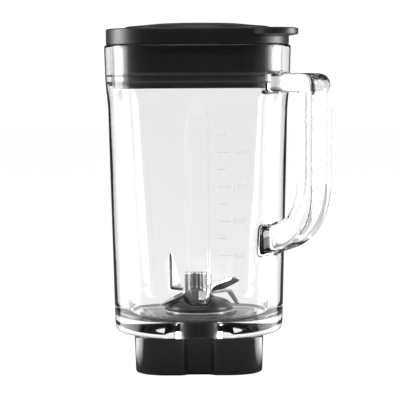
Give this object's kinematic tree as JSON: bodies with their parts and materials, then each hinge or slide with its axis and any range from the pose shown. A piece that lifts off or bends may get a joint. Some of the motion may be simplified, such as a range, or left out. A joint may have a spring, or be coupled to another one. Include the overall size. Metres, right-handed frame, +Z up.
{
  "type": "blender jar",
  "caption": "Square glass blending jar with a corner handle, bent-arm blade on a driven shaft, lobed black base collar and push-in lid with a measuring cap.",
  "frame": {"origin": "middle of the base collar's lower face, on the axis of the jar and the blade shaft", "axes": "+Z up along the jar's axis, -Y towards the front panel, the handle on the corner between +X and -Y, the pouring lip on the corner between -X and +Y"},
  "size_m": [0.1575, 0.1575, 0.2504],
  "materials": {
    "jar_glass": "clear, thick, fire-polished glass",
    "black_gloss": "glossy black moulded plastic",
    "housing_black": "satin black moulded plastic, polished by washing",
    "lid_black": "fine-grained black moulded plastic",
    "black_rubber": "smooth black rubber",
    "grey_rubber": "dark grey rubber",
    "pale_silicone": "translucent pale silicone",
    "nut_nylon": "dark glass-filled nylon",
    "coupler_nylon": "black nylon with wear on the drive faces",
    "cage_nylon": "tan polyamide",
    "spring_steel": "blued spring steel",
    "bearing_steel": "ground and polished bearing steel",
    "shaft_steel": "turned stainless steel",
    "blade_steel": "brushed stainless blade steel with ground edges",
    "nut_steel": "polished stainless steel"
  },
  "bodies": {
    "jar": {"jar_glass": "jar_glass", "base_collar": "black_gloss", "base_gasket": "grey_rubber", "bearing_housing": "housing_black", "housing_gasket": "pale_silicone", "clamp_nut": "nut_nylon", "bearing_retainer": "spring_steel", "shaft_seal": "black_rubber", "upper_bearing_outer": "bearing_steel", "lower_bearing_outer": "bearing_steel"},
    "blade_rotor": {"drive_shaft": "shaft_steel", "drive_coupler": "coupler_nylon", "upper_bearing_inner": "bearing_steel", "lower_bearing_inner": "bearing_steel", "bearing_spacer": "shaft_steel", "blade_washer": "shaft_steel", "blade_lower": "blade_steel", "blade_upper": "blade_steel", "lock_washer": "blade_steel", "blade_nut": "nut_steel"},
    "upper_ball_set": {"upper_bearing_balls": "bearing_steel", "upper_bearing_cage": "cage_nylon"},
    "lower_ball_set": {"lower_bearing_balls": "bearing_steel", "lower_bearing_cage": "cage_nylon"},
    "lid": {"lid_shell": "lid_black", "lid_seal": "black_rubber"},
    "cap": {"lid_cap": "lid_black"}
  },
  "joints": [
    {"name": "blade_spin", "type": "hinge", "parent": "jar", "child": "blade_rotor", "pos_m": [0, 0, 0.045], "axis": [0, 0, 1], "continuous": true},
    {"name": "upper_ball_orbit", "type": "hinge", "parent": "jar", "child": "upper_ball_set", "pos_m": [0, 0, 0.04], "axis": [0, 0, 1], "continuous": true},
    {"name": "lower_ball_orbit", "type": "hinge", "parent": "jar", "child": "lower_ball_set", "pos_m": [0, 0, 0.02], "axis": [0, 0, 1], "continuous": true},
    {"name": "lid_lift", "type": "slide", "parent": "jar", "child": "lid", "axis": [0, 0, 1], "range_m": [0, 0.12]},
    {"name": "cap_lift", "type": "slide", "parent": "lid", "child": "cap", "axis": [0, 0, 1], "range_m": [0, 0.06]}
  ],
  "couplings": [
    {"joint": "upper_ball_orbit", "follows": "blade_spin", "ratio": 0.369},
    {"joint": "lower_ball_orbit", "follows": "blade_spin", "ratio": 0.369}
  ]
}
